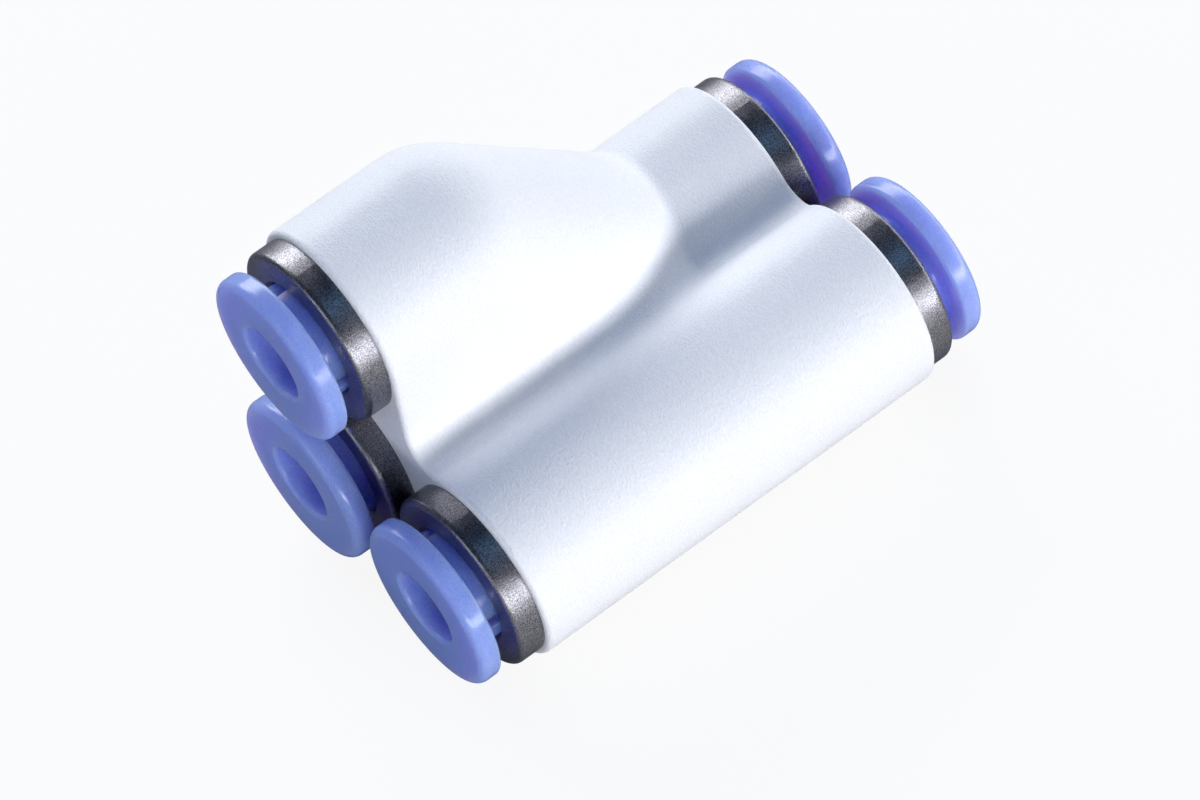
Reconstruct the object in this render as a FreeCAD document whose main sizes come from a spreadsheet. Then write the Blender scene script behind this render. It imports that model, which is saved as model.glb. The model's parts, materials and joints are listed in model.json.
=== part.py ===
import FreeCAD, Part
import math
import os
import re
import Sketcher
from FreeCAD import Placement, Rotation, Vector

# Five-way push-in tube connector, in millimetres, +Z up.
# The left end (-X) has three ports: rear, front, and an upper one above the rear.
# The right end (+X) has two ports: rear and front.
# The rear barrel (+Y) and the front barrel (-Y) run straight through, side by side.
# The upper barrel bends down into the rear one.
# Origin: on the surface that the connector lies on, under the middle of its length and width.

# Driving sizes in millimetres, except the angles in degrees and the counts.
# A depth is measured along a port, from the end face of the body inwards.
DRIVING_SIZES = {
    # The tube and the passages
    "tube_radius": "2.0",
    "tube_clearance": "0.08",
    "tube_bite": "0.1",
    "seal_squeeze": "0.12",
    "passage_radius": "1.5",
    "link_radius": "1.35",
    # The moulded body
    "body_length": "25.2",
    "port_wall": "1.14",
    "barrel_overlap": "0.32",
    "elbow_reach": "6.65",
    "branch_angle": "45.0",
    "valley_radius": "1.5",
    "mitre_radius": "0.95",
    "end_rounding": "0.28",
    "collar_ledge": "0.6",
    "seal_space": "1.5",
    "socket_length": "2.3",
    "slant_angle": "70.0",
    "slant_inset": "0.35",
    # The metal guide ring
    "ring_spacing": "0.4",
    "ring_proud": "1.5",
    "ring_rounding": "0.32",
    "ring_chamfer": "0.2",
    "guide_length": "0.9",
    "skirt_length": "3.0",
    "skirt_wall": "0.4",
    "skirt_groove": "0.15",
    "groove_width": "0.6",
    "insert_gap": "0.02",
    # The release collet
    "neck_wall": "1.12",
    "neck_clearance": "0.06",
    "flange_inset": "0.25",
    "flange_thickness": "1.22",
    "flange_rounding": "0.5",
    "back_rounding": "0.2",
    "root_rounding": "0.4",
    "mouth_rounding": "0.22",
    "release_travel": "0.9",
    "stop_gap": "0.1",
    "catch_gap": "0.08",
    "catch_step": "0.42",
    "catch_clearance": "0.18",
    "catch_land": "0.4",
    "nose_wall": "0.42",
    "leg_slot_width": "0.75",
    "leg_slot_root": "0.05",
    "leg_count": "3",
    # How far the collet and the grab ring of each port happen to be turned about its axis
    "left_upper_turn_angle": "-25",
    "left_rear_turn_angle": "-30",
    "left_front_turn_angle": "85",
    "right_rear_turn_angle": "-32",
    "right_front_turn_angle": "-28",
    # The grab ring
    "grab_thickness": "0.25",
    "grab_rim": "0.9",
    "grab_gap": "0.15",
    "tooth_slot_width": "0.4",
    "tooth_count": "10",
    # The backing collar
    "collar_length": "2.0",
    "tooth_room": "0.3",
    "collar_clearance": "0.12",
    # The tube seal
    "seal_gap": "0.04",
    "seal_groove_depth": "0.7",
    "seal_lip_width": "0.5",
}

# Sizes worked out from the driving sizes. Across a port they follow each other outwards, from the
# tube to the barrel, and the barrels set how far apart the ports are.
DERIVED_SIZES = {
    "bore_radius": "=tube_radius + tube_clearance",
    "tooth_radius": "=tube_radius - tube_bite",
    "lip_radius": "=tube_radius - seal_squeeze",
    "nose_radius": "=bore_radius + nose_wall",
    "neck_radius": "=bore_radius + neck_wall",
    "guide_radius": "=neck_radius + neck_clearance",
    "catch_radius": "=neck_radius + catch_step",
    "catch_room_radius": "=catch_radius + catch_clearance",
    "skirt_radius": "=catch_room_radius + skirt_wall",
    "insert_radius": "=skirt_radius + insert_gap",
    "seal_seat_radius": "=insert_radius - collar_ledge",
    "barrel_radius": "=insert_radius + port_wall",
    "pitch": "=2 * barrel_radius - barrel_overlap",
    "upper_axis": "=barrel_radius + pitch",
    "ring_radius": "=(pitch - ring_spacing) / 2",
    "flange_radius": "=ring_radius - flange_inset",
    "flange_back": "=-(ring_proud + release_travel + stop_gap)",
    "flange_face": "=flange_back - flange_thickness",
    "catch_depth": "=guide_length + catch_gap",
    "collar_front": "=skirt_length + grab_thickness",
    "collar_back": "=collar_front + collar_length",
    "seal_seat_end": "=collar_back + seal_space",
    "socket_end": "=seal_seat_end + socket_length",
    "nose_depth": "=skirt_length + grab_bend_radius - nose_radius - release_travel - grab_gap",
    "grab_bend_radius": "=skirt_radius - grab_rim",
    "grab_back_radius": "=grab_bend_radius + grab_thickness * (sqrt(2) - 1)",
    "grab_tip_step": "=grab_thickness / sqrt(2)",
    "grab_tip_depth": "=skirt_length + grab_bend_radius - tooth_radius",
    "collar_bore_radius": "=bore_radius + collar_clearance",
    "collar_mouth_radius": "=grab_back_radius + tooth_room",
    "collar_cone_end": "=collar_front + collar_mouth_radius - collar_bore_radius",
    "seal_front": "=collar_back + seal_gap",
    "seal_back": "=seal_seat_end - seal_gap",
    "seal_radius": "=seal_seat_radius - seal_gap",
    "slant_start": "=socket_end + slant_inset",
}

ALIASES = set(DRIVING_SIZES) | set(DERIVED_SIZES)
STEP_FOLDER = "parts"
FULL_TURN = 360
HALF_TURN = 180
NEAR = 0.001

# FreeCAD's numbers for a curve's points and for a sketch's axes and origin.
START, END, MIDDLE = 1, 2, 3
HORIZONTAL_AXIS, VERTICAL_AXIS = -1, -2
ROOT_POINT = (-1, 1)
X_AXIS = Vector(1, 0, 0)
Z_AXIS = Vector(0, 0, 1)

# Each port: the end of the body that it opens at, and its axis across and up.
LEFT_END = "-body_length / 2"
RIGHT_END = "body_length / 2"
PORTS = {
    "left_upper": (LEFT_END, "pitch / 2", "upper_axis"),
    "left_rear": (LEFT_END, "pitch / 2", "barrel_radius"),
    "left_front": (LEFT_END, "-pitch / 2", "barrel_radius"),
    "right_rear": (RIGHT_END, "pitch / 2", "barrel_radius"),
    "right_front": (RIGHT_END, "-pitch / 2", "barrel_radius"),
}

doc = FreeCAD.newDocument("five_way_connector")


def make_sheet():
    """Write the driving sizes and then the derived ones, each with its name as alias."""
    sheet = doc.addObject("Spreadsheet::Sheet", "sizes")
    for row, (name, content) in enumerate({**DRIVING_SIZES, **DERIVED_SIZES}.items(), start=1):
        sheet.set(f"A{row}", name)
        sheet.set(f"B{row}", content)
        sheet.setAlias(f"B{row}", name)
    doc.recompute()
    return sheet


sizes = make_sheet()


def size(name):
    return float(sizes.get(name))


def formula(text):
    """Point each size that the text names at its cell in the sheet."""
    return re.sub(r"[a-z_]+", lambda word: f"sizes.{word[0]}" if word[0] in ALIASES else word[0], text)


def new_body(name):
    body = doc.addObject("PartDesign::Body", name)
    body.Label = name
    return body


def new_sketch(body, name, plane_role, shift=("0", "0", "0"), slope=None):
    """A sketch on one of the body's origin planes, shifted in it and turned down by a slope."""
    plane = next(item for item in body.Origin.OriginFeatures if item.Role == plane_role)
    sketch = body.newObject("Sketcher::SketchObject", name)
    sketch.AttachmentSupport = [(plane, "")]
    sketch.MapMode = "FlatFace"
    sketch.AttachmentOffset = Placement(Vector(), Rotation(Vector(0, 0, -1), 0))
    for direction, text in zip("xyz", shift):
        sketch.setExpression(f"AttachmentOffset.Base.{direction}", formula(text))
    if slope:
        sketch.setExpression("AttachmentOffset.Rotation.Angle", formula(slope))
    return sketch


def constrain_point(sketch, curve, end, corner):
    """Tie a point of a curve to the coordinates that the corner's two texts give."""
    rules = (("DistanceX", VERTICAL_AXIS, corner[0]), ("DistanceY", HORIZONTAL_AXIS, corner[1]))
    for kind, axis, text in rules:
        if text == "0":
            sketch.addConstraint(Sketcher.Constraint("PointOnObject", curve, end, axis))
            continue
        value = sketch.evalExpression(formula(text))
        index = sketch.addConstraint(Sketcher.Constraint(kind, *ROOT_POINT, curve, end, value))
        sketch.setExpression(f"Constraints[{index}]", formula(text))


def arc_at(corner, before, after, radius):
    """The arc that rounds a corner, and which ends of it meet the sides before and after."""
    to_before = (before - corner).normalize()
    to_after = (after - corner).normalize()
    half_angle = to_before.getAngle(to_after) / 2
    inward = (to_before + to_after).normalize()
    centre = corner + inward * (radius / math.sin(half_angle))
    reach = radius / math.tan(half_angle)
    touches = (corner + to_before * reach, corner + to_after * reach)
    turns_left = to_before.cross(to_after).z < 0
    first, last = touches if turns_left else reversed(touches)
    angles = [math.atan2(point.y - centre.y, point.x - centre.x) for point in (first, last)]
    arc = Part.ArcOfCircle(Part.Circle(centre, Z_AXIS, radius), *angles)
    ends = (START, END) if turns_left else (END, START)
    return arc, touches, ends


def draw_outline(sketch, corners):
    """A closed outline through the corners, each an (along, out) pair of size texts.

    A third text rounds the corner with an arc of that radius.
    """
    points = [Vector(*[sketch.evalExpression(formula(text)) for text in corner[:2]], 0) for corner in corners]
    leaving = list(points)
    arriving = list(points)
    arcs = {}
    for index, corner in enumerate(corners):
        if len(corner) == 3:
            radius = sketch.evalExpression(formula(corner[2]))
            before, after = points[index - 1], points[(index + 1) % len(points)]
            arc, (arriving[index], leaving[index]), ends = arc_at(points[index], before, after, radius)
            arcs[index] = (arc, radius, ends)
    sides = []
    for index in range(len(corners)):
        following = (index + 1) % len(corners)
        sides.append(sketch.addGeometry(Part.LineSegment(leaving[index], arriving[following])))
    for index, corner in enumerate(corners):
        side_before, side_after = sides[index - 1], sides[index]
        if index not in arcs:
            sketch.addConstraint(Sketcher.Constraint("Coincident", side_before, END, side_after, START))
            constrain_point(sketch, side_after, START, corner)
            continue
        arc, radius, (first, last) = arcs[index]
        curve = sketch.addGeometry(arc)
        apex = sketch.addGeometry(Part.Point(points[index]), True)
        sketch.addConstraint(Sketcher.Constraint("PointOnObject", apex, START, side_before))
        sketch.addConstraint(Sketcher.Constraint("PointOnObject", apex, START, side_after))
        constrain_point(sketch, apex, START, corner)
        sketch.addConstraint(Sketcher.Constraint("Tangent", side_before, END, curve, first))
        sketch.addConstraint(Sketcher.Constraint("Tangent", curve, last, side_after, START))
        constraint = sketch.addConstraint(Sketcher.Constraint("Radius", curve, radius))
        sketch.setExpression(f"Constraints[{constraint}]", formula(corner[2]))


def draw_circle(sketch, corner, radius_text):
    centre = Vector(*[sketch.evalExpression(formula(text)) for text in corner], 0)
    radius = sketch.evalExpression(formula(radius_text))
    circle = sketch.addGeometry(Part.Circle(centre, Z_AXIS, radius))
    constrain_point(sketch, circle, MIDDLE, corner)
    constraint = sketch.addConstraint(Sketcher.Constraint("Radius", circle, radius))
    sketch.setExpression(f"Constraints[{constraint}]", formula(radius_text))


def extrude(body, kind, name, sketch, length_text, backwards=False):
    """A Pad or Pocket of a sketch."""
    feature = body.newObject(f"PartDesign::{kind}", name)
    feature.Profile = sketch
    feature.setExpression("Length", formula(length_text))
    feature.Reversed = backwards
    sketch.Visibility = False
    return feature


def turn_about_axis(body, kind, name, sketch):
    """A full Revolution or Groove of a sketch about its own horizontal axis."""
    feature = body.newObject(f"PartDesign::{kind}", name)
    feature.Profile = sketch
    feature.ReferenceAxis = (sketch, ["H_Axis"])
    feature.Angle = FULL_TURN
    sketch.Visibility = False
    return feature


def round_edges(body, name, radius_text, is_wanted):
    """Round those edges of the body so far whose bounding box passes the test."""
    doc.recompute()
    base = body.Tip
    wanted = []
    for number, edge in enumerate(base.Shape.Edges, start=1):
        if not edge.Degenerated and is_wanted(edge.BoundBox):
            wanted.append(f"Edge{number}")
    feature = body.newObject("PartDesign::Fillet", name)
    feature.Base = (base, wanted)
    feature.setExpression("Radius", formula(radius_text))
    return feature


def repeat_about_port(body, name, feature, count_text):
    """Repeat a cut evenly about the port's axis, which is the X axis of the body."""
    pattern = body.newObject("PartDesign::PolarPattern", name)
    pattern.Originals = [feature]
    axis = next(item for item in body.Origin.OriginFeatures if item.Role == "X_Axis")
    pattern.Axis = (axis, [""])
    pattern.Angle = FULL_TURN
    pattern.setExpression("Occurrences", formula(count_text))
    body.Tip = pattern
    return pattern


def add_barrels(body):
    """The two straight barrels, and the upper barrel with its elbow, slope and flanks."""
    for side, across in (("rear", "pitch / 2"), ("front", "-pitch / 2")):
        sketch = new_sketch(body, f"{side}_barrel_section", "YZ_Plane", ("0", "0", LEFT_END))
        draw_circle(sketch, (across, "barrel_radius"), "barrel_radius")
        extrude(body, "Pad", f"{side}_barrel", sketch, "body_length")
    add_slope(body)
    round_notch(body)
    flanks = new_sketch(body, "flank_outline", "XZ_Plane",
                        (f"{LEFT_END} + elbow_reach", "barrel_radius", "-(pitch / 2 + barrel_radius)"))
    draw_outline(flanks, [
        ("-elbow_reach", "0"),
        ("pitch / tan(branch_angle)", "0"),
        ("0", "pitch"),
        ("-elbow_reach", "pitch"),
    ])
    extrude(body, "Pad", "flanks", flanks, "2 * barrel_radius")
    section = new_sketch(body, "upper_barrel_section", "YZ_Plane", ("0", "0", LEFT_END))
    draw_circle(section, ("pitch / 2", "upper_axis"), "barrel_radius")
    extrude(body, "Pad", "upper_barrel", section, "elbow_reach")


def add_slope(body):
    """The ball that rounds the elbow and the round slope that runs down from it."""
    sketch = new_sketch(body, "slope_outline", "XZ_Plane",
                        (f"{LEFT_END} + elbow_reach", "upper_axis", "-pitch / 2"), "branch_angle")
    radius = size("barrel_radius")
    reach = size("pitch") / math.sin(math.radians(size("branch_angle")))
    top = sketch.addGeometry(Part.LineSegment(Vector(0, radius, 0), Vector(reach, radius, 0)))
    foot = sketch.addGeometry(Part.LineSegment(Vector(reach, radius, 0), Vector(reach, 0, 0)))
    axis = sketch.addGeometry(Part.LineSegment(Vector(reach, 0, 0), Vector(-radius, 0, 0)))
    circle = Part.Circle(Vector(), Z_AXIS, radius)
    ball = sketch.addGeometry(Part.ArcOfCircle(circle, math.pi / 2, math.pi))
    for rule in (
        ("Coincident", ball, MIDDLE, *ROOT_POINT),
        ("Tangent", ball, START, top, START),
        ("Horizontal", top),
        ("Coincident", top, END, foot, START),
        ("Vertical", foot),
        ("Coincident", foot, END, axis, START),
        ("PointOnObject", foot, END, HORIZONTAL_AXIS),
        ("Coincident", axis, END, ball, END),
        ("PointOnObject", ball, END, HORIZONTAL_AXIS),
    ):
        sketch.addConstraint(Sketcher.Constraint(*rule))
    for rule, text in (
        (("Radius", ball, radius), "barrel_radius"),
        (("DistanceX", *ROOT_POINT, foot, END, reach), "pitch / sin(branch_angle)"),
    ):
        index = sketch.addConstraint(Sketcher.Constraint(*rule))
        sketch.setExpression(f"Constraints[{index}]", formula(text))
    turn_about_axis(body, "Revolution", "slope", sketch)


def round_notch(body):
    """Soften the notch where the slope meets the top of the rear barrel."""
    bend = -size("body_length") / 2 + size("elbow_reach")
    radius = size("barrel_radius")

    def in_notch(box):
        return box.XMin > bend + NEAR and box.YMax > NEAR and box.YLength > NEAR \
            and box.ZMin > radius - NEAR and box.XMax < size("body_length") / 2 - NEAR

    round_edges(body, "notch_rounding", "mitre_radius", in_notch)


def round_body(body):
    """Soften the two valleys between the barrels and the end faces."""
    half_length = size("body_length") / 2
    flank = size("pitch") / 2 - size("barrel_radius")

    def in_valley(box):
        return box.XLength > NEAR and flank - NEAR < box.YMin and box.YMax < -flank + NEAR \
            and box.ZMax < size("upper_axis") - NEAR

    def on_end(box):
        return box.XLength < NEAR and abs(abs(box.XMin) - half_length) < NEAR

    round_edges(body, "valley_rounding", "valley_radius", in_valley)
    round_edges(body, "end_rounding", "end_rounding", on_end)


def stepped_bore(end_text):
    """Corners of a port's stepped bore, from the end face in to a depth on the axis."""
    return [
        ("0", "0"),
        ("0", "insert_radius"),
        ("collar_back", "insert_radius"),
        ("collar_back", "seal_seat_radius"),
        ("seal_seat_end", "seal_seat_radius"),
        ("seal_seat_end", "bore_radius"),
        ("socket_end", "bore_radius"),
        ("socket_end", "passage_radius"),
        (end_text, "passage_radius"),
        (end_text, "0"),
    ]


def cut_passages(body):
    """The five stepped port bores and the passages that join them."""
    for name, (end_face, across, up) in PORTS.items():
        end = "slant_start + passage_radius" if name == "left_upper" else "body_length / 2"
        corners = stepped_bore(end)
        if end_face == RIGHT_END:
            corners = [("0" if along == "0" else f"-({along})", out) for along, out in corners]
        sketch = new_sketch(body, f"{name}_bore_outline", "XZ_Plane", (end_face, up, f"-({across})"))
        draw_outline(sketch, corners)
        turn_about_axis(body, "Groove", f"{name}_bore", sketch)
    slant = new_sketch(body, "slant_outline", "XZ_Plane",
                       (f"{LEFT_END} + slant_start", "upper_axis", "-pitch / 2"), "slant_angle")
    foot = "pitch / sin(slant_angle)"
    draw_outline(slant, [("0", "0"), (foot, "0"), (foot, "link_radius"), ("0", "link_radius")])
    turn_about_axis(body, "Groove", "slant_passage", slant)
    section = new_sketch(body, "cross_section", "XZ_Plane", ("0", "0", "-pitch / 2"))
    draw_circle(section, ("0", "barrel_radius"), "link_radius")
    extrude(body, "Pocket", "cross_passage", section, "pitch", backwards=True)


def make_connector_body():
    body = new_body("body")
    add_barrels(body)
    round_body(body)
    cut_passages(body)
    return body


def make_guide_ring(name):
    """The plated ring: a proud head, a bore that guides the collet, and a grooved skirt."""
    body = new_body(name)
    sketch = new_sketch(body, f"{name}_outline", "XZ_Plane")
    groove_front = "(guide_length + skirt_length - groove_width) / 2"
    groove_back = "(guide_length + skirt_length + groove_width) / 2"
    draw_outline(sketch, [
        ("-ring_proud + ring_chamfer", "guide_radius"),
        ("-ring_proud", "guide_radius + ring_chamfer"),
        ("-ring_proud", "ring_radius", "ring_rounding"),
        ("0", "ring_radius"),
        ("0", "skirt_radius"),
        (groove_front, "skirt_radius"),
        (groove_front, "skirt_radius - skirt_groove"),
        (groove_back, "skirt_radius - skirt_groove"),
        (groove_back, "skirt_radius"),
        ("skirt_length", "skirt_radius"),
        ("skirt_length", "catch_room_radius"),
        ("guide_length", "catch_room_radius"),
        ("guide_length", "guide_radius"),
    ])
    turn_about_axis(body, "Revolution", f"{name}_turning", sketch)
    return body


def make_release_collet(name):
    """The push-to-release collet: a flange, a neck and spring legs with a catch at their ends."""
    body = new_body(name)
    sketch = new_sketch(body, f"{name}_outline", "XZ_Plane")
    draw_outline(sketch, [
        ("flange_face", "bore_radius", "mouth_rounding"),
        ("flange_face", "flange_radius", "flange_rounding"),
        ("flange_back", "flange_radius", "back_rounding"),
        ("flange_back", "neck_radius", "root_rounding"),
        ("catch_depth", "neck_radius"),
        ("catch_depth", "catch_radius"),
        ("catch_depth + catch_land", "catch_radius"),
        ("nose_depth", "nose_radius"),
        ("nose_depth", "bore_radius"),
    ])
    turn_about_axis(body, "Revolution", f"{name}_turning", sketch)
    slot = new_sketch(body, f"{name}_slot_outline", "XY_Plane")
    root = "flange_back + root_rounding + leg_slot_root"
    end = "nose_depth + leg_slot_width"
    draw_outline(slot, [
        (root, "-leg_slot_width / 2"),
        (end, "-leg_slot_width / 2"),
        (end, "leg_slot_width / 2"),
        (root, "leg_slot_width / 2"),
    ])
    cut = extrude(body, "Pocket", f"{name}_slot", slot, "catch_radius + catch_clearance", backwards=True)
    repeat_about_port(body, f"{name}_slots", cut, "leg_count")
    return body


def make_grab_ring(name):
    """The spring steel ring: a flat rim and teeth bent inwards that bite the tube."""
    body = new_body(name)
    sketch = new_sketch(body, f"{name}_outline", "XZ_Plane")
    draw_outline(sketch, [
        ("skirt_length", "skirt_radius"),
        ("skirt_length", "grab_bend_radius"),
        ("grab_tip_depth", "tooth_radius"),
        ("grab_tip_depth + grab_tip_step", "tooth_radius + grab_tip_step"),
        ("collar_front", "grab_back_radius"),
        ("collar_front", "skirt_radius"),
    ])
    turn_about_axis(body, "Revolution", f"{name}_pressing", sketch)
    slot = new_sketch(body, f"{name}_slot_outline", "XY_Plane")
    front = "skirt_length - grab_thickness"
    end = "grab_tip_depth + 2 * grab_thickness"
    draw_outline(slot, [
        (front, "-tooth_slot_width / 2"),
        (end, "-tooth_slot_width / 2"),
        (end, "tooth_slot_width / 2"),
        (front, "tooth_slot_width / 2"),
    ])
    cut = extrude(body, "Pocket", f"{name}_slot", slot, "grab_bend_radius", backwards=True)
    repeat_about_port(body, f"{name}_slots", cut, "tooth_count")
    return body


def make_backing_collar(name):
    """The collar that clamps the grab ring and leaves its teeth room to open."""
    body = new_body(name)
    sketch = new_sketch(body, f"{name}_outline", "XZ_Plane")
    draw_outline(sketch, [
        ("collar_front", "skirt_radius"),
        ("collar_front", "collar_mouth_radius"),
        ("collar_cone_end", "collar_bore_radius"),
        ("collar_back", "collar_bore_radius"),
        ("collar_back", "skirt_radius"),
    ])
    turn_about_axis(body, "Revolution", f"{name}_moulding", sketch)
    return body


def make_tube_seal(name):
    """The rubber lip seal, with a groove that lets pressure spread its lip onto the tube."""
    body = new_body(name)
    sketch = new_sketch(body, f"{name}_outline", "XZ_Plane")
    draw_outline(sketch, [
        ("seal_front", "collar_bore_radius"),
        ("seal_front", "seal_radius"),
        ("seal_back", "seal_radius"),
        ("seal_back", "seal_radius - seal_lip_width"),
        ("seal_back - seal_groove_depth", "(seal_radius + lip_radius) / 2"),
        ("seal_back", "lip_radius + seal_lip_width"),
        ("seal_back", "lip_radius"),
    ])
    turn_about_axis(body, "Revolution", f"{name}_moulding", sketch)
    return body


def seat_in_port(body, port, turned):
    """Put a port's piece on the port's axis, its local X pointing into the body."""
    end_face, across, up = PORTS[port]
    facing = Rotation(Z_AXIS, HALF_TURN if end_face == RIGHT_END else 0)
    about_axis = Rotation(X_AXIS, size(f"{port}_turn_angle") if turned else 0)
    body.Placement = Placement(Vector(), facing * about_axis)
    body.setExpression("Placement.Base.x", formula(end_face))
    body.setExpression("Placement.Base.y", formula(across))
    body.setExpression("Placement.Base.z", formula(up))


PORT_PIECES = {
    "guide_ring": (make_guide_ring, False),
    "release_collet": (make_release_collet, True),
    "grab_ring": (make_grab_ring, True),
    "backing_collar": (make_backing_collar, False),
    "tube_seal": (make_tube_seal, False),
}


def make_connector():
    """Every sub-part of the connector: the body, and the same five pieces in each port."""
    sub_parts = [make_connector_body()]
    for port in PORTS:
        for kind, (make_piece, turned) in PORT_PIECES.items():
            piece = make_piece(f"{kind}_{port}")
            seat_in_port(piece, port, turned)
            sub_parts.append(piece)
    doc.recompute()
    return sub_parts


def check(sub_parts):
    """Stop if any object of the document failed or any sub-part isn't one valid solid."""
    for item in doc.Objects:
        if "Invalid" in item.State or "Error" in item.State:
            raise RuntimeError(f"{item.Name} failed: {item.State}")
    for part in sub_parts:
        shape = part.Shape
        if shape.isNull() or not shape.isValid() or len(shape.Solids) != 1:
            raise RuntimeError(f"{part.Label} is not one valid solid")


def export(sub_parts):
    os.makedirs(STEP_FOLDER, exist_ok=True)
    for part in sub_parts:
        part.Shape.exportStep(os.path.join(STEP_FOLDER, f"{part.Label}.step"))


connector = make_connector()
check(connector)
export(connector)
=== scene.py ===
import json
import math

import bpy
from mathutils import Euler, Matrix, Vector

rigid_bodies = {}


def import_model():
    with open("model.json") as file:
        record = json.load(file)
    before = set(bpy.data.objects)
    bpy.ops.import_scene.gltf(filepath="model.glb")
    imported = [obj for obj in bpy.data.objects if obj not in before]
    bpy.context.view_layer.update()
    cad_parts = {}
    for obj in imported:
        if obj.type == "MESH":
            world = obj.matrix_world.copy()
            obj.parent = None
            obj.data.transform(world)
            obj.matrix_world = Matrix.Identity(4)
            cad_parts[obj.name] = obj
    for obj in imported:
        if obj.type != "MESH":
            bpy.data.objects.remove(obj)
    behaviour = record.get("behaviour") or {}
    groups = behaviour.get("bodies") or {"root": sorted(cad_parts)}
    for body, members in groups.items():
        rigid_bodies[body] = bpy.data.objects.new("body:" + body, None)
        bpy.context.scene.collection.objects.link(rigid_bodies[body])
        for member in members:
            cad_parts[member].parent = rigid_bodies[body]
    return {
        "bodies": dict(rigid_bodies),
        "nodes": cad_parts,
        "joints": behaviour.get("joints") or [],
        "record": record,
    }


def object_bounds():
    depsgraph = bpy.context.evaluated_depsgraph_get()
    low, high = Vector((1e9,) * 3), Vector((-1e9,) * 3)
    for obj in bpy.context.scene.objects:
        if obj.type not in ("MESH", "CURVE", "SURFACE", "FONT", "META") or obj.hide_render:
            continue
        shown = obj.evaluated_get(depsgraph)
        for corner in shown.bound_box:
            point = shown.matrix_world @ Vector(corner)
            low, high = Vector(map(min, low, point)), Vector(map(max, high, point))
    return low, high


# Looks, light and camera for the five-way push-in tube connector.
# Lengths are in metres in the parts' own frame: +X to the two-port end, +Y to the rear, +Z up.

MILLIMETRE = 0.001

# The camera, as fitted to the rings and collets in the photograph.
CAMERA_PLACE = (-120.56 * MILLIMETRE, -209.36 * MILLIMETRE, 333.6 * MILLIMETRE)
CAMERA_TURN_DEGREES = (35.657, 6.298, -38.387)
LENS_MILLIMETRES = 240
SENSOR_MILLIMETRES = 36
CAMERA_NEAR = 0.05
CAMERA_FAR = 20

# Softboxes round the connector: azimuth from +X and height over the horizon in degrees, width
# and height in metres, strength in watts and colour. All are at one distance from its middle.
SOFTBOX_DISTANCE = 0.5
SOFTBOXES = {
    "front_strip_left": (240, 7, 0.26, 0.09, 0.84, (0.98, 0.98, 1.0)),
    "front_strip_middle": (270, 7, 0.26, 0.09, 0.84, (0.98, 0.98, 1.0)),
    "front_strip_right": (300, 7, 0.26, 0.09, 0.84, (0.98, 0.98, 1.0)),
    "right_strip_front": (330, 5, 0.26, 0.06, 0.38, (1.0, 1.0, 1.0)),
    "right_strip_middle": (0, 5, 0.26, 0.06, 0.38, (1.0, 1.0, 1.0)),
    "right_strip_rear": (30, 5, 0.26, 0.06, 0.38, (1.0, 1.0, 1.0)),
    "rear_softbox_right": (60, 22, 0.26, 0.26, 1.15, (0.98, 0.99, 1.0)),
    "rear_softbox_left": (90, 22, 0.26, 0.26, 1.15, (0.98, 0.99, 1.0)),
    "left_softbox": (180, 20, 0.3, 0.16, 0.4, (0.8, 0.88, 1.0)),
    "blue_window": (310, 62, 0.12, 0.12, 0.1, (0.31, 0.62, 1.0)),
}
# A cool fill from above, which no metal or gloss mirrors.
TOP_FILL = (90, 80, 0.3, 0.3, 0.44, (0.5, 0.65, 1.0))

# The studio's grey walls give way to a darker ceiling between these two heights, where the
# horizon is 0 and the zenith is 1.
WALL_TOP = 0.35
CEILING_EDGE = 0.8
WALL_COLOUR = (0.14, 0.16, 0.2)
CEILING_COLOUR = (0.03, 0.05, 0.1)
WHITE = (1, 1, 1)

FLOOR_SIDE = 6.0
FLOOR_COLOUR = (0.26, 0.26, 0.28)
FLOOR_COLOUR_IN_VIEW = (0.95, 0.95, 0.95)
FLOOR_GLOW_IN_VIEW = 0.9
# As metal and gloss mirror it, the sheet is plain as far as the first of these two places on Y, and
# glows fully in front of the second one. This is painted reflection: the plain part stands in for
# the connector's shadow, and the glow stands in for a pool of light in front of it.
FLOOR_GLOW_STARTS = -9 * MILLIMETRE
FLOOR_GLOW_FULL = -14 * MILLIMETRE
FLOOR_GLOW_IN_METAL = 0.6

# Most of a noise texture's values lie between these two.
NOISE_LOW = 0.3
NOISE_HIGH = 0.7


def load_connector():
    """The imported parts, and the corners of their box."""
    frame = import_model()
    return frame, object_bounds()


def set_sockets(node, values):
    """Set a shader node's sockets, each by its name with _ for a space."""
    for name, value in values.items():
        node.inputs[name.replace("_", " ")].default_value = value


def new_material(name, **values):
    """A material with its node tree and its main shader, some of whose sockets are set."""
    material = bpy.data.materials.new(name)
    material.use_nodes = True
    tree = material.node_tree
    shader = tree.nodes["Principled BSDF"]
    set_sockets(shader, values)
    return material, tree, shader


def add_node(tree, kind, **values):
    """A shader node with some of its sockets set."""
    node = tree.nodes.new(f"ShaderNode{kind}")
    set_sockets(node, values)
    return node


def colour_ramp(tree, source, start, first, end, last, easing="LINEAR"):
    """The first colour where the source is at the start, and the last one where it is at the end."""
    node = add_node(tree, "ValToRGB")
    ramp = node.color_ramp
    ramp.interpolation = easing
    ramp.elements[0].position = start
    ramp.elements[0].color = (*first, 1)
    ramp.elements[1].position = end
    ramp.elements[1].color = (*last, 1)
    tree.links.new(source, node.inputs["Fac"])
    return node.outputs["Color"]


def combine(tree, operation, first, second):
    """The result of a sum, a product, a maximum or the like of two values."""
    node = add_node(tree, "Math")
    node.operation = operation
    tree.links.new(first, node.inputs[0])
    tree.links.new(second, node.inputs[1])
    return node.outputs["Value"]


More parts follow.
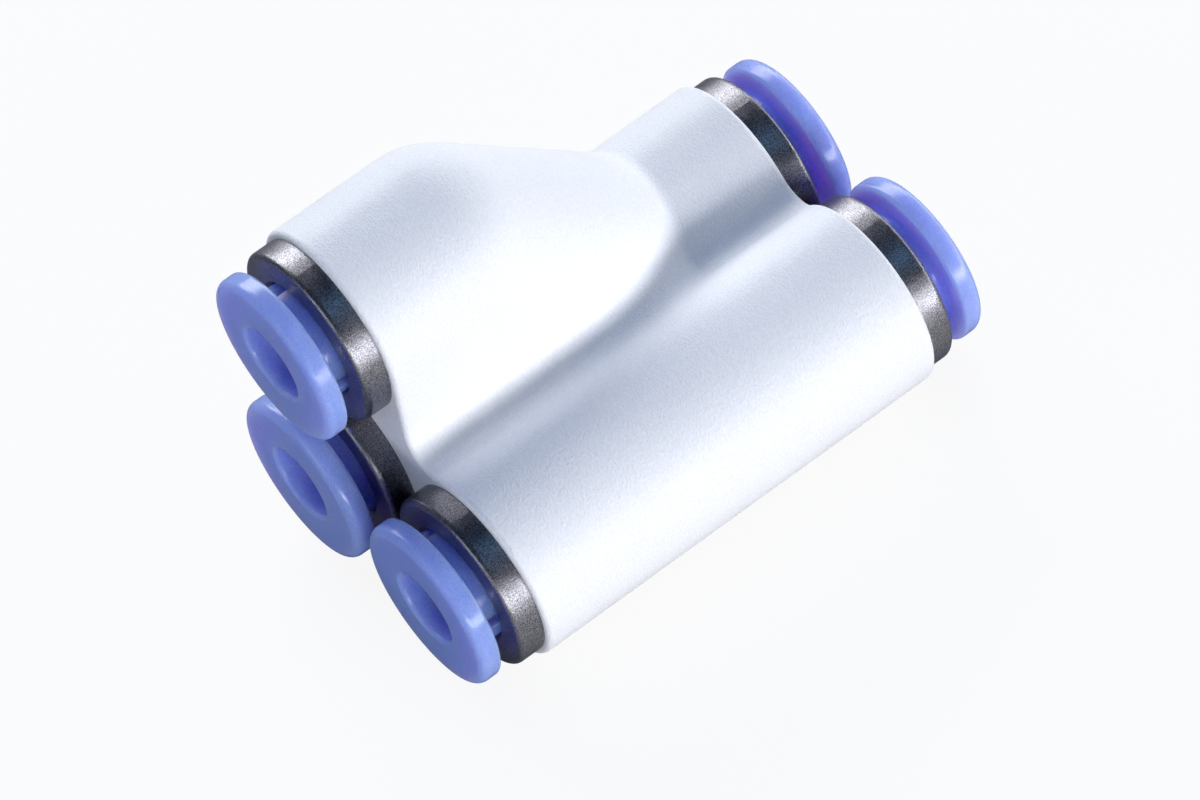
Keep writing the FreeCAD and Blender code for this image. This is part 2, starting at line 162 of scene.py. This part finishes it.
def mix_shaders(tree, first, second, share):
    """Two shaders mixed, with the second one's share as a number or a socket."""
    mix = add_node(tree, "MixShader")
    if isinstance(share, (int, float)):
        mix.inputs["Fac"].default_value = share
    else:
        tree.links.new(share, mix.inputs["Fac"])
    tree.links.new(first, mix.inputs[1])
    tree.links.new(second, mix.inputs[2])
    return mix.outputs["Shader"]


def add_glow(tree, sheet, share):
    """A sheet that glows white by the given share."""
    glow = add_node(tree, "Emission", Color=(*WHITE, 1), Strength=1)
    return mix_shaders(tree, sheet, glow.outputs["Emission"], share)


def split_place(tree, coordinates):
    """The place that a shader is asked about, split into X, Y and Z."""
    place = add_node(tree, "TexCoord")
    split = add_node(tree, "SeparateXYZ")
    tree.links.new(place.outputs[coordinates], split.inputs["Vector"])
    return split


def object_place(tree, stretch=(1, 1, 1)):
    """The place on the piece, multiplied by the stretch along each axis."""
    place = add_node(tree, "TexCoord")
    mapping = add_node(tree, "Mapping", Scale=stretch)
    tree.links.new(place.outputs["Object"], mapping.inputs["Vector"])
    return mapping.outputs["Vector"]


def noise(tree, place, size, detail=2):
    """Noise whose grains are about as many metres across as size says."""
    node = add_node(tree, "TexNoise", Scale=1 / size, Detail=detail)
    tree.links.new(place, node.inputs["Vector"])
    return node.outputs["Fac"]


def tint(tree, shader, source, dark, light):
    """Colour the surface from dark to light as a noise value goes."""
    colour = colour_ramp(tree, source, NOISE_LOW, dark, NOISE_HIGH, light)
    tree.links.new(colour, shader.inputs["Base Color"])


def dull(tree, shader, source, smoothest, roughest):
    """Vary the surface's roughness as a noise value goes."""
    node = add_node(
        tree,
        "MapRange",
        From_Min=NOISE_LOW,
        From_Max=NOISE_HIGH,
        To_Min=smoothest,
        To_Max=roughest,
    )
    tree.links.new(source, node.inputs["Value"])
    tree.links.new(node.outputs["Result"], shader.inputs["Roughness"])


def relief(tree, shader, source, depth):
    """Give the surface bumps of the given depth in metres."""
    bump = add_node(tree, "Bump", Strength=1, Distance=depth)
    tree.links.new(source, bump.inputs["Height"])
    tree.links.new(bump.outputs["Normal"], shader.inputs["Normal"])


def white_plastic():
    """The body's white plastic, from a spark-eroded mould: fine grain with a soft sheen."""
    material, tree, shader = new_material("white_plastic", IOR=1.5)
    across_barrels = object_place(tree, stretch=(1.5, 0.75, 0.75))
    grain = noise(tree, across_barrels, size=0.13 * MILLIMETRE)
    cloud = noise(tree, object_place(tree), size=4 * MILLIMETRE)
    # The grain's darker end falls in the pits of its own bumps, so besides the plastic's random tone
    # it is painted shade in those pits.
    tint(tree, shader, grain, dark=(0.84, 0.845, 0.87), light=(0.92, 0.92, 0.93))
    dull(tree, shader, cloud, smoothest=0.42, roughest=0.52)
    relief(tree, shader, grain, depth=0.05 * MILLIMETRE)
    return material


def nickel_plate():
    """Dark satin nickel over blasted brass: a speckled grain under a cloudy lustre."""
    material, tree, shader = new_material("nickel_plate", Metallic=1)
    grain = noise(tree, object_place(tree), size=0.065 * MILLIMETRE)
    cloud = noise(tree, object_place(tree), size=1.2 * MILLIMETRE, detail=4)
    tint(tree, shader, grain, dark=(0.05, 0.053, 0.07), light=(0.36, 0.352, 0.375))
    dull(tree, shader, cloud, smoothest=0.27, roughest=0.38)
    relief(tree, shader, grain, depth=0.012 * MILLIMETRE)
    return material


def blue_plastic():
    """The collets' blue plastic: glossy and waxy, so light passes into it and fills its shades."""
    material, tree, shader = new_material(
        "blue_plastic",
        IOR=1.48,
        Subsurface_Weight=1,
        Subsurface_Radius=(1.7, 1.1, 1.2),
        Subsurface_Scale=3 * MILLIMETRE,
    )
    ripple = noise(tree, object_place(tree), size=0.9 * MILLIMETRE, detail=3)
    grain = noise(tree, object_place(tree), size=0.08 * MILLIMETRE)
    cloud = noise(tree, object_place(tree), size=3 * MILLIMETRE)
    tint(tree, shader, grain, dark=(0.2, 0.29, 0.9), light=(0.28, 0.39, 0.98))
    dull(tree, shader, cloud, smoothest=0.15, roughest=0.25)
    relief(tree, shader, ripple, depth=0.02 * MILLIMETRE)
    return material


def spring_steel():
    """Bright stainless strip, with faint lines along Y from its rolling."""
    material, tree, shader = new_material("spring_steel", Metallic=1)
    along_rolling = object_place(tree, stretch=(1, 1, 6))
    grain = noise(tree, along_rolling, size=0.3 * MILLIMETRE)
    tint(tree, shader, grain, dark=(0.5, 0.5, 0.52), light=(0.6, 0.6, 0.62))
    dull(tree, shader, grain, smoothest=0.2, roughest=0.32)
    relief(tree, shader, grain, depth=0.005 * MILLIMETRE)
    return material


def natural_plastic():
    """Uncoloured plastic with a smooth moulded face."""
    material, tree, shader = new_material("natural_plastic")
    cloud = noise(tree, object_place(tree), size=1.5 * MILLIMETRE)
    tint(tree, shader, cloud, dark=(0.74, 0.73, 0.68), light=(0.8, 0.79, 0.75))
    dull(tree, shader, cloud, smoothest=0.4, roughest=0.5)
    relief(tree, shader, cloud, depth=0.01 * MILLIMETRE)
    return material


def black_rubber():
    """Moulded black rubber with a dull skin."""
    material, tree, shader = new_material("black_rubber")
    grain = noise(tree, object_place(tree), size=0.15 * MILLIMETRE)
    tint(tree, shader, grain, dark=(0.015, 0.015, 0.016), light=(0.03, 0.03, 0.032))
    dull(tree, shader, grain, smoothest=0.6, roughest=0.75)
    relief(tree, shader, grain, depth=0.01 * MILLIMETRE)
    return material


def finish_parts(frame):
    """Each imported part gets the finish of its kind."""
    finishes = {
        "body": white_plastic(),
        "guide_ring": nickel_plate(),
        "release_collet": blue_plastic(),
        "grab_ring": spring_steel(),
        "backing_collar": natural_plastic(),
        "tube_seal": black_rubber(),
    }
    for name, part in frame["nodes"].items():
        kind = next(kind for kind in finishes if name.startswith(kind))
        part.material_slots[0].material = finishes[kind]


def painted_glow_in_front(tree):
    """How far the floor glows at each place on it: not beside the connector, where the plain sheet
    is painted shadow, but in front of it, as a painted pool of light.
    """
    share = add_node(
        tree,
        "MapRange",
        From_Min=FLOOR_GLOW_STARTS,
        From_Max=FLOOR_GLOW_FULL,
        To_Min=0,
        To_Max=FLOOR_GLOW_IN_METAL,
    )
    tree.links.new(split_place(tree, "Object").outputs["Y"], share.inputs["Value"])
    return share.outputs["Result"]


def make_floor():
    """A plain sheet that shows near white to the camera and keeps the connector's soft shadow."""
    bpy.ops.mesh.primitive_plane_add(size=FLOOR_SIDE)
    floor = bpy.context.object
    floor.name = "floor"
    material, tree, shader = new_material(
        "floor_sheet",
        Base_Color=(*FLOOR_COLOUR, 1),
        Roughness=0.9,
        Specular_IOR_Level=0.1,
    )
    path = add_node(tree, "LightPath").outputs
    mirrored = combine(tree, "MAXIMUM", path["Is Glossy Ray"], path["Is Transmission Ray"])
    # Metal and gloss see the sheet glow only in front of the connector: a painted pool of light,
    # with painted shadow beside it.
    glow_in_metal = combine(tree, "MULTIPLY", mirrored, painted_glow_in_front(tree))
    sheet = add_glow(tree, shader.outputs["BSDF"], glow_in_metal)
    white_sheet = add_node(tree, "BsdfDiffuse", Color=(*FLOOR_COLOUR_IN_VIEW, 1))
    in_view = add_glow(tree, white_sheet.outputs["BSDF"], FLOOR_GLOW_IN_VIEW)
    mix = mix_shaders(tree, sheet, in_view, path["Is Camera Ray"])
    tree.links.new(mix, tree.nodes["Material Output"].inputs["Surface"])
    floor.data.materials.append(material)


def make_world():
    """A studio with grey walls and a darker ceiling, white where the camera sees it."""
    world = bpy.data.worlds.new("studio")
    bpy.context.scene.world = world
    world.use_nodes = True
    tree = world.node_tree
    studio = tree.nodes["Background"]
    height = split_place(tree, "Generated").outputs["Z"]
    colour = colour_ramp(
        tree, height, WALL_TOP, WALL_COLOUR, CEILING_EDGE, CEILING_COLOUR, easing="EASE"
    )
    tree.links.new(colour, studio.inputs["Color"])
    white = add_node(tree, "Background", Color=(*WHITE, 1), Strength=1)
    path = add_node(tree, "LightPath").outputs
    mix = mix_shaders(
        tree, studio.outputs["Background"], white.outputs["Background"], path["Is Camera Ray"]
    )
    tree.links.new(mix, tree.nodes["World Output"].inputs["Surface"])


def make_softbox(name, target, azimuth, rise, width, height, watts, colour):
    """A rectangular lamp that faces the target, seen from there at the given azimuth and rise."""
    level = math.cos(math.radians(rise))
    way = Vector((
        level * math.cos(math.radians(azimuth)),
        level * math.sin(math.radians(azimuth)),
        math.sin(math.radians(rise)),
    ))
    light = bpy.data.lights.new(name, "AREA")
    light.shape = "RECTANGLE"
    light.size = width
    light.size_y = height
    light.energy = watts
    light.color = colour
    holder = bpy.data.objects.new(name, light)
    holder.location = target + way * SOFTBOX_DISTANCE
    holder.rotation_euler = (-way).to_track_quat("-Z", "Y").to_euler()
    bpy.context.scene.collection.objects.link(holder)
    return holder


def make_lights(target):
    """The softboxes round the target, and the fill above it."""
    for name, values in SOFTBOXES.items():
        make_softbox(name, target, *values)
    fill = make_softbox("top_fill", target, *TOP_FILL)
    fill.visible_glossy = False


def make_camera():
    """The camera at the photograph's place and angle."""
    camera = bpy.data.cameras.new("camera")
    camera.lens = LENS_MILLIMETRES
    camera.sensor_width = SENSOR_MILLIMETRES
    camera.clip_start = CAMERA_NEAR
    camera.clip_end = CAMERA_FAR
    holder = bpy.data.objects.new("camera", camera)
    holder.location = CAMERA_PLACE
    holder.rotation_euler = Euler([math.radians(angle) for angle in CAMERA_TURN_DEGREES])
    bpy.context.scene.collection.objects.link(holder)
    bpy.context.scene.camera = holder


frame, parts_box = load_connector()
finish_parts(frame)
make_floor()
make_world()
make_lights((parts_box[0] + parts_box[1]) / 2)
make_camera()
bpy.context.scene.view_settings.view_transform = "Standard"
